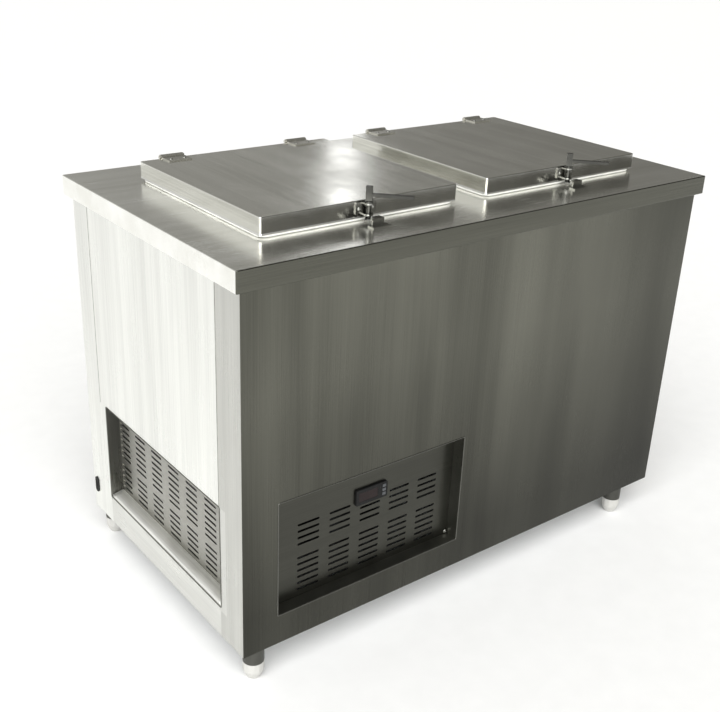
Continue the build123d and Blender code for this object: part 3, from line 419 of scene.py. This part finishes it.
def dome(name, centre, axis, sign, radius):
    """A low domed screw head with a shallow round recess: height = 0.45 r * sqrt(1 - (s / r)^2) over a
    low rim, less 0.22 r in the recess."""
    share = np.array([1.0, 0.98, 0.92, 0.8, 0.62, 0.45, 0.34, 0.30, 0.12])
    rim = 0.2 * MM
    rise = 0.45 * radius * np.sqrt(np.clip(1 - share ** 2, 0, 1)) + rim
    rise[-2:] -= 0.22 * radius
    profile = np.stack([share * radius, sign * rise], -1)
    profile = np.concatenate([[[radius, 0.0]], profile])
    return turned(name, centre, profile, axis, 20)


def dome_row(middle, step, axis, sign, radius):
    """Two screw heads, one step to each side of a middle."""
    return [dome("head", np.add(middle, np.multiply(end, step)), axis, sign, radius) for end in (-1, 1)]


# ------------------------------------------------------------------ operators
class TANK_OT_finishes(bpy.types.Operator):
    """Gives every node of the frame its finish"""
    bl_idname = "tank.finishes"
    bl_label = "Finishes"

    def execute(self, context):
        s = context.scene.tank_finish
        depth = s.grain_depth
        front_face_shade, top_steel = tuple(s.front_face_shade), tuple(s.top_steel)
        # the plane behind which each sheet has its body colour instead of its face colour
        front_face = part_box("front_skin")[0].y + SKIN
        top_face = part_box("tabletop")[0].y + 2.5 * MM
        lid_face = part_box("lid_left_shell")[0].y + 0.7 * MM
        jamb_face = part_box("side_grille_frame")[1].y - 2 * MM
        made = {
            # painted shade: the front sheet's face takes the dark front colour and its corner returns take the
            # darkened corner colour. The face darkens further towards the right and the bottom
            "front": brushed(
                "Front sheet", tuple(s.corner_shade), "Z", 0.30, depth, front_face_shade, front_face,
                cloud=0.36, painted_fade=(("X", -0.10, 0.50, 0.55), ("Z", 0.60, 0.15, 0.45)),
            ),
            "cabinet": brushed("Cabinet sheet", tuple(s.side_steel), "Z", 0.30, depth),
            # painted shade: the back jamb of the side grille's recess, its last 2 mm, is painted 0.13 grey;
            # the rest takes the lighter colour
            "side_frame": brushed(
                "Side grille frame sheet", (0.13, 0.13, 0.12), "Z", 0.30, depth, (0.66, 0.66, 0.63), jamb_face,
            ),
            "rail": brushed("Bottom rail sheet", (0.66, 0.66, 0.63), "Y", 0.30, depth),
            # painted shade: the tabletop's front lip takes the dark front colour in place of the top's steel
            # tone
            "top": brushed(
                "Tabletop sheet", tone(top_steel, 1.10), "X", 0.20, depth, front_face_shade, top_face,
            ),
            # painted shade: each lid's front face takes 0.44 of the lid's colour
            "lid": brushed(
                "Lid sheet", tone(top_steel, 1.08), "Y", 0.17, depth, tone(top_steel, 0.44), lid_face,
            ),
            "lid_hem": brushed("Lid hem steel", (0.93, 0.93, 0.90), "X", 0.22, depth),
            "tank": brushed("Tank sheet", (0.74, 0.74, 0.73), "Z", 0.22, depth),
            "grille": brushed("Grille sheet", tuple(s.grille_steel), "Y", 0.36, depth),
            # painted shade: the jambs of the recessed front grille opening are painted dark grey
            "jamb": brushed("Grille jamb painted shade", (0.20, 0.20, 0.18), "X", 0.34, depth),
            # painted shade: the recessed front slotted plate takes the dark front grille colour
            "front_grille": brushed(
                "Front grille sheet", tuple(s.front_grille_shade), "X", 0.34, depth,
            ),
            "frame": grained("Galvanised sheet", (0.55, 0.57, 0.57), 0.45, 1.0, 60.0, 0.00003, 0.2),
            # painted shade: the leg stubs under the body are painted near black in place of their lit steel
            # tone
            "leg": grained("Leg steel painted shade", (0.10, 0.10, 0.09), 0.5, 1.0),
            "nylon": grained("White nylon", (0.50, 0.495, 0.47), 0.42, 0.0, 700.0, 0.00005, 0.05),
            "foam": grained("Foam", (0.80, 0.70, 0.42), 0.9, 0.0, 260.0, 0.0004, 0.1),
            "gasket": grained("Lid seal", (0.86, 0.86, 0.83), 0.6, 0.0, 500.0, 0.00004, 0.08),
            "chrome": grained("Bright plating", (0.34, 0.34, 0.32), 0.16, 1.0, 300.0, 0.00001, 0.05),
            "lever": grained("Lever plating", (0.085, 0.085, 0.078), 0.22, 1.0, 300.0, 0.00001, 0.08),
            "hinge": brushed("Hinge steel", (0.62, 0.61, 0.56), "X", 0.25, depth),
            "copper": grained("Drawn copper", (0.72, 0.36, 0.22), 0.28, 1.0, 120.0, 0.00002, 0.2),
            "black": grained(
                "Black enamel", (0.022, 0.022, 0.022), 0.32, 0.0, 300.0, 0.00003, 0.2, coat=0.5,
            ),
            "fin": brushed("Fin aluminium", (0.70, 0.71, 0.72), "Z", 0.35, depth),
            "rubber": grained("Black rubber", (0.025, 0.025, 0.025), 0.75),
            "plastic": grained(
                "Black plastic", (0.010, 0.010, 0.010), 0.50, 0.0, 1400.0, specular=0.15,
            ),
            "grey": grained("Grey plastic", (0.30, 0.31, 0.32), 0.45, 0.0, 1100.0),
            "window": grained(
                "Smoked window", (0.010, 0.004, 0.004), 0.16, 0.0, 100.0, 0.000005, 0.1, coat=0.1,
                specular=0.2,
            ),
            "key": grained("Key rubber", (0.07, 0.075, 0.08), 0.55),
            "drain": brushed("Drain pipe steel", (0.62, 0.62, 0.59), "Y", 0.24, depth),
        }
        wanted = {
            "front": ["front_skin"],
            "cabinet": ["side_panel_left", "side_panel_right", "back_panel", "rear_posts"],
            "side_frame": ["side_grille_frame"],
            "rail": ["side_bottom_rail"],
            "top": ["tabletop"],
            "lid": ["lid_left_shell", "lid_right_shell"],
            "tank": ["inner_tank", "lid_left_liner", "lid_right_liner", "temperature_probe"],
            "grille": ["side_grille"],
            "front_grille": ["front_grille"],
            "jamb": ["front_grille_frame"],
            "frame": ["base_frame", "base_pan", "machine_bay_liner", "fan_shroud"],
            "leg": ["leg_stubs"],
            "nylon": ["levelling_feet"],
            "foam": ["tank_insulation", "lid_left_foam", "lid_right_foam"],
            "gasket": ["lid_left_gasket", "lid_right_gasket"],
            "chrome": ["latch_strikes", "latch_bracket_left", "latch_bracket_right", "grille_screws"],
            "lever": ["latch_lever_left", "latch_lever_right"],
            "hinge": ["hinge_bases", "hinge_leaves_left", "hinge_leaves_right", "hinge_pins"],
            "copper": ["evaporator_coil", "discharge_line", "suction_line", "liquid_line", "filter_drier"],
            "black": ["compressor"],
            "fin": ["condenser_coil"],
            "rubber": ["compressor_grommets"],
            "plastic": ["compressor_terminal_cover", "fan_blade", "fan_motor", "cable_grommet",
                        "controller_housing"],
            "grey": ["electrical_box"],
            "window": ["controller_window"],
            "key": ["controller_key_up", "controller_key_set", "controller_key_down"],
            "drain": ["drain_pipe", "drain_valve_body", "drain_valve_handle"],
        }
        bare = set(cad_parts) - {node for nodes in wanted.values() for node in nodes}
        if bare:
            raise RuntimeError(f"no finish for {sorted(bare)}")
        for finish, nodes in wanted.items():
            for node in nodes:
                paint_node(node, made[finish])
        return {"FINISHED"}


class TANK_OT_hem(bpy.types.Operator):
    """Rolls the lower edge of the tabletop lip"""
    bl_idname = "tank.hem"
    bl_label = "Tabletop hem"

    def execute(self, context):
        radius = context.scene.tank_trim.hem_radius
        low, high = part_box("tabletop")
        ring = rounded_ring(low.x, high.x, low.y, high.y, 0.004)
        profile = circle(radius, 12) + [-radius, low.z]
        place(
            "tabletop_hem", ring_profile("tabletop_hem", ring, profile), "cabinet",
            bpy.data.materials["Tabletop sheet"],
        )
        return {"FINISHED"}


class TANK_OT_lid_hems(bpy.types.Operator):
    """Rolls the lower edge of each lid"""
    bl_idname = "tank.lid_hems"
    bl_label = "Lid hems"

    def execute(self, context):
        radius = context.scene.tank_trim.lid_hem_radius
        for side in ("left", "right"):
            low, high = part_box(f"lid_{side}_shell")
            ring = rounded_ring(low.x, high.x, low.y, high.y, 0.005)
            profile = circle(radius, 16) + [-0.6 * radius, low.z + 0.5 * radius]
            place(
                f"lid_hem_{side}", ring_profile(f"lid_hem_{side}", ring, profile), f"lid_{side}",
                bpy.data.materials["Lid hem steel"],
            )
        return {"FINISHED"}


class TANK_OT_beads(bpy.types.Operator):
    """Runs a thin rolled bead round each grille opening"""
    bl_idname = "tank.beads"
    bl_label = "Grille beads"

    def execute(self, context):
        rod = circle(context.scene.tank_trim.bead_radius, 12)
        corner = 0.003
        bead = brushed("Bead steel", (0.15, 0.15, 0.135), "X", 0.30, context.scene.tank_finish.grain_depth)
        low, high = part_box("front_grille_frame")
        ring = rounded_ring(low.x, high.x, low.z, high.z, corner)
        place(
            "front_grille_bead", ring_profile("front_grille_bead", ring, rod + [0, low.y], (0, 2, 1)),
            "cabinet", bead,
        )
        low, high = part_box("side_grille_frame")
        ring = rounded_ring(low.y + GRILLE_FLANGE, high.y, low.z + GRILLE_LIP, high.z, corner)
        place(
            "side_grille_bead", ring_profile("side_grille_bead", ring, rod + [0, low.x], (2, 0, 1)),
            "cabinet", bead,
        )
        return {"FINISHED"}


class TANK_OT_sill(bpy.types.Operator):
    """Lays the sloped sill along the foot of the side grille: one section carried along Y"""
    bl_idname = "tank.sill"
    bl_label = "Side grille sill"

    def execute(self, context):
        low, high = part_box("side_grille_frame")
        start, end = low.y + GRILLE_FLANGE + SKIN + SLIP, high.y - SKIN - SLIP
        base = low.z + GRILLE_LIP + SKIN
        nose, heel = low.x + SKIN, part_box("side_grille")[0].x - SLIP
        section = np.array([
            (nose, base), (heel, base), (heel, base + 0.009), (nose + 0.004, base + 0.0045),
            (nose + 0.0015, base + 0.0035), (nose, base + 0.0015),
        ])
        along = np.linspace(start, end, 40)
        x, y = np.broadcast_arrays(section[None, :, 0], along[:, None])
        points = np.stack([x, y, np.broadcast_to(section[None, :, 1], x.shape)], -1)
        sheet = brushed(
            "Sill sheet", (0.90, 0.90, 0.87), "Y", 0.55, context.scene.tank_finish.grain_depth,
        )
        place(
            "side_grille_sill", grid_mesh("side_grille_sill", points, close_v=True), "cabinet",
            sheet,
        )
        return {"FINISHED"}


class TANK_OT_seals(bpy.types.Operator):
    """Makes the bulbed seal under each lid in place of the plain strip: a superellipse of power 0.55,
    pinched where its height passes 1 - 0.25 cos(2 a)^8"""
    bl_idname = "tank.seals"
    bl_label = "Lid seals"

    def execute(self, context):
        way = circle(1.0, 24)
        bulb = np.sign(way) * np.abs(way) ** 0.55
        bulb[:, 1] *= 1 - 0.25 * np.cos(2 * np.linspace(0, 2 * np.pi, 24, endpoint=False)) ** 8
        half_width = 0.008
        for side in ("left", "right"):
            node = f"lid_{side}_gasket"
            low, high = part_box(node)
            profile = bulb * [half_width, (high.z - low.z) / 2] + [-half_width, (low.z + high.z) / 2]
            ring = rounded_ring(low.x, high.x, low.y, high.y, 0.018)
            place(
                f"seal_{side}", ring_profile(node, ring, profile), f"lid_{side}",
                bpy.data.materials["Lid seal"], (node,),
            )
        return {"FINISHED"}


class TANK_OT_feet(bpy.types.Operator):
    """Turns the four fluted levelling feet"""
    bl_idname = "tank.feet"
    bl_label = "Levelling feet"

    def execute(self, context):
        trim = context.scene.tank_trim
        low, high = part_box("levelling_feet")
        flute_band = (0.019, 0.035)
        # radius and height from the floor up, in millimetres
        shape = np.array([
            (0.0004, 0.0), (11.5, 0.0), (13.2, 0.5), (14.2, 2.0), (17.6, 9.5), (20.1, 15.6), (20.8, 17.6),
            (21.0, 19.5), (21.0, 34.5), (20.6, 36.6), (19.4, 37.8), (6.2, 38.0), (6.0, 38.6), (6.0, 55.4),
            (5.6, 56.0), (0.0004, 56.0),
        ]) * MM
        meshes = [
            turned("foot", (x, y, 0), shape, "Z", 96, trim.foot_flutes, trim.flute_depth, flute_band)
            for x in (low.x + FOOT_RADIUS, high.x - FOOT_RADIUS)
            for y in (low.y + FOOT_RADIUS, high.y - FOOT_RADIUS)
        ]
        place(
            "feet", merged("feet", meshes), "cabinet", bpy.data.materials["White nylon"],
            ("levelling_feet",),
        )
        return {"FINISHED"}


class TANK_OT_seams(bpy.types.Operator):
    """Lays the narrow sealed seams at the front and back edges of the end sheets: a flat ellipse carried
    up Z"""
    bl_idname = "tank.seams"
    bl_label = "Sheet seams"

    def execute(self, context):
        proud, half_width = 0.00025, 0.0011
        section = circle(1.0, 10) * [proud, half_width]
        seams = []
        for side, way in (("left", -1), ("right", 1)):
            low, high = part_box(f"side_panel_{side}")
            face_x = low.x if side == "left" else high.x
            levels = np.linspace(low.z, high.z - UNDER_LIP, 24)
            for seam_y in (low.y, high.y):
                x = np.broadcast_to(face_x + way * section[None, :, 0], (24, 10))
                y = np.broadcast_to(seam_y + section[None, :, 1], (24, 10))
                z = np.broadcast_to(levels[:, None], (24, 10))
                seams.append(grid_mesh("seam", np.stack([x, y, z], -1), close_v=True))
        shade = Shade("Seam sealant")
        patch = shade.spread(shade.noise((1, 1, 1), 60.0, 4.0, 0.5), 0.35, 0.65)
        shade.colour(shade.blend(patch, (0.16, 0.16, 0.14), (0.30, 0.30, 0.27)))
        shade.fix(Roughness=0.5, Metallic=0.4)
        place("sheet_seams", merged("sheet_seams", seams), "cabinet", shade.material)
        return {"FINISHED"}


class TANK_OT_screws(bpy.types.Operator):
    """Sets domed screw heads on the grilles, hinges and latch plates"""
    bl_idname = "tank.screws"
    bl_label = "Screw heads"

    def execute(self, context):
        radius = context.scene.tank_trim.screw_radius
        bright = bpy.data.materials["Bright plating"]
        inset = 0.007
        front_low, front_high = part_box("front_grille_frame")
        side_low, side_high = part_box("side_grille_frame")
        front_y, side_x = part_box("front_grille")[0].y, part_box("side_grille")[0].x
        heads = [
            dome("head", (x, front_y, z), "Y", -1, radius)
            for x in (front_low.x + inset, front_high.x - inset)
            for z in (front_low.z + inset, front_high.z - inset)
        ] + [
            dome("head", (side_x, y, z), "X", -1, radius)
            for y in (side_low.y + GRILLE_FLANGE + inset, side_high.y - inset)
            for z in (side_low.z + GRILLE_LIP + inset, side_high.z - inset)
        ]
        place(
            "grille_screw_heads", merged("grille_screw_heads", heads), "cabinet", bright,
            ("grille_screws",),
        )
        base_low, base_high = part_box("hinge_bases")
        base_y, base_z = base_high.y - BASE_SCREW_Y, base_low.z + PLATE_SHEET
        base_heads = []
        for side in ("left", "right"):
            leaf_low, leaf_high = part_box(f"hinge_leaves_{side}")
            lid_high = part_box(f"lid_{side}_shell")[1]
            leaf_y, leaf_z = lid_high.y - LEAF_SCREW_Y, lid_high.z + LEAF_SHEET
            heads = []
            for middle in (leaf_low.x + HINGE_HALF, leaf_high.x - HINGE_HALF):
                step = (HINGE_SCREW_X, 0, 0)
                heads += dome_row((middle, leaf_y, leaf_z), step, "Z", 1, SMALL_SCREW)
                base_heads += dome_row((middle, base_y, base_z), step, "Z", 1, SMALL_SCREW)
            place(
                f"hinge_leaf_screws_{side}", merged(f"hinge_leaf_screws_{side}", heads),
                f"lid_{side}", bright,
            )
            low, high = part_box(f"latch_bracket_{side}")
            middle = ((low.x + high.x) / 2, high.y - PLATE_SHEET, (low.z + high.z) / 2)
            heads = dome_row(middle, (PLATE_SCREW_X, 0, 0), "Y", -1, SMALL_SCREW)
            place(
                f"latch_plate_screws_{side}", merged(f"latch_plate_screws_{side}", heads),
                f"lid_{side}", bright,
            )
        place(
            "hinge_base_screws", merged("hinge_base_screws", base_heads), "cabinet", bright,
        )
        return {"FINISHED"}


class TANK_OT_stage(bpy.types.Operator):
    """Sets the floor, the soft lights, the backdrop and the camera"""
    bl_idname = "tank.stage"
    bl_label = "Stage"

    def execute(self, context):
        settings = context.scene.tank_stage
        scene = context.scene
        half = 30.0
        corners = [[(-half, -half, 0), (-half, half, 0)], [(half, -half, 0), (half, half, 0)]]
        mesh = grid_mesh("floor", np.array(corners, float))
        mesh.flip_normals()
        floor = bpy.data.objects.new("floor", mesh)
        scene.collection.objects.link(floor)
        mesh.materials.append(grained(
            "Studio floor", tuple(settings.floor_colour), 0.7, 0.0, 40.0, 0.0001, 0.01,
        ))
        light = bpy.data.lights.new("key", "SUN")
        light.angle = settings.key_spread
        light.energy = settings.key_power
        lamp = bpy.data.objects.new("key", light)
        lamp.rotation_euler = (0.63, -0.64, 0)
        scene.collection.objects.link(lamp)
        world = bpy.data.worlds.new("studio")
        scene.world = world
        world.use_nodes = True
        tree = world.node_tree
        way = add_node(tree, "ShaderNodeTexCoord").outputs["Generated"]
        x, y, z = add_node(tree, "ShaderNodeSeparateXYZ", {0: way}).outputs
        # the room: white on the left, grey towards the right
        across = add_node(tree, "ShaderNodeMapRange", {"Value": x, "From Min": -1.0})
        room = add_node(tree, "ShaderNodeValToRGB", {"Fac": across.outputs["Result"]})
        stops = (
            (0.20, (1.0, 1.0, 0.98, 1)), (0.71, (0.39, 0.385, 0.36, 1)), (0.87, (0.24, 0.235, 0.215, 1)),
        )
        room.color_ramp.elements.new(0.5)
        for element, (position, colour) in zip(room.color_ramp.elements, stops):
            element.position = position
            element.color = colour
        # the narrow upright light: one heading, fading in above the floor and out again higher up
        heading = add_node(tree, "ShaderNodeMath", {0: x, 1: y}, operation="ARCTAN2")
        near = add_node(tree, "ShaderNodeMath", {
            0: heading.outputs[0], 1: settings.strip_heading, 2: settings.strip_width,
        }, operation="COMPARE")
        rise = add_node(tree, "ShaderNodeMapRange", {"Value": z, "From Min": 0.12, "From Max": 0.24})
        fall = add_node(tree, "ShaderNodeMapRange", {"Value": z, "From Min": 0.80, "From Max": 0.55})
        window = add_node(tree, "ShaderNodeMath", {
            0: rise.outputs["Result"], 1: fall.outputs["Result"],
        }, operation="MULTIPLY")
        strip = add_node(tree, "ShaderNodeMath", {
            0: near.outputs[0], 1: window.outputs[0],
        }, operation="MULTIPLY")
        lit = add_node(tree, "ShaderNodeMix", {
            "Factor": strip.outputs[0], 6: room.outputs["Color"], 7: (*[settings.strip_power] * 3, 1),
        }, data_type="RGBA")
        # a plain backdrop for the camera's own rays only
        seen = add_node(tree, "ShaderNodeLightPath").outputs["Is Camera Ray"]
        backdrop = add_node(tree, "ShaderNodeMix", {
            "Factor": seen, 6: lit.outputs[2], 7: (*[settings.backdrop_power] * 3, 1),
        }, data_type="RGBA")
        background = tree.nodes["Background"]
        tree.links.new(backdrop.outputs[2], background.inputs["Color"])
        background.inputs["Strength"].default_value = settings.room_power
        lens = bpy.data.cameras.new("camera")
        lens.sensor_width = 36.0
        lens.lens = 51.74
        lens.shift_x = -0.0046
        lens.shift_y = -0.0005
        lens.clip_end = 200.0
        camera = bpy.data.objects.new("camera", lens)
        camera.location = (-1.3798, -1.6374, 1.3836)
        camera.rotation_euler = (1.1479, -0.0394, -0.6551)
        scene.collection.objects.link(camera)
        scene.camera = camera
        scene.view_settings.view_transform = "Standard"
        return {"FINISHED"}


class TANK_PT_looks(bpy.types.Panel):
    """Settings and steps of the milk tank's looks"""
    bl_label = "Milk Tank"
    bl_idname = "TANK_PT_looks"
    bl_space_type = "VIEW_3D"
    bl_region_type = "UI"
    bl_category = "Milk Tank"

    def draw(self, context):
        for group in ("tank_finish", "tank_trim", "tank_stage"):
            settings = getattr(context.scene, group)
            column = self.layout.column()
            for name in settings.__annotations__:
                column.prop(settings, name)
        for step in STEPS:
            self.layout.operator(step.bl_idname)


STEPS = (
    TANK_OT_stage, TANK_OT_finishes, TANK_OT_hem, TANK_OT_lid_hems, TANK_OT_beads, TANK_OT_sill,
    TANK_OT_seals, TANK_OT_feet, TANK_OT_seams, TANK_OT_screws,
)
GROUPS = (
    ("tank_finish", TankFinishSettings), ("tank_trim", TankTrimSettings), ("tank_stage", TankStageSettings),
)


def register():
    for _, group in GROUPS:
        bpy.utils.register_class(group)
    for step in STEPS:
        bpy.utils.register_class(step)
    bpy.utils.register_class(TANK_PT_looks)
    for name, group in GROUPS:
        setattr(bpy.types.Scene, name, bpy.props.PointerProperty(type=group))


def unregister():
    for name, _ in GROUPS:
        delattr(bpy.types.Scene, name)
    bpy.utils.unregister_class(TANK_PT_looks)
    for step in reversed(STEPS):
        bpy.utils.unregister_class(step)
    for _, group in reversed(GROUPS):
        bpy.utils.unregister_class(group)


def main():
    register()
    for operator in (
        bpy.ops.tank.stage, bpy.ops.tank.finishes, bpy.ops.tank.hem, bpy.ops.tank.lid_hems,
        bpy.ops.tank.beads, bpy.ops.tank.sill, bpy.ops.tank.seals, bpy.ops.tank.feet,
        bpy.ops.tank.seams, bpy.ops.tank.screws,
    ):
        operator()


if __name__ == "__main__":
    main()
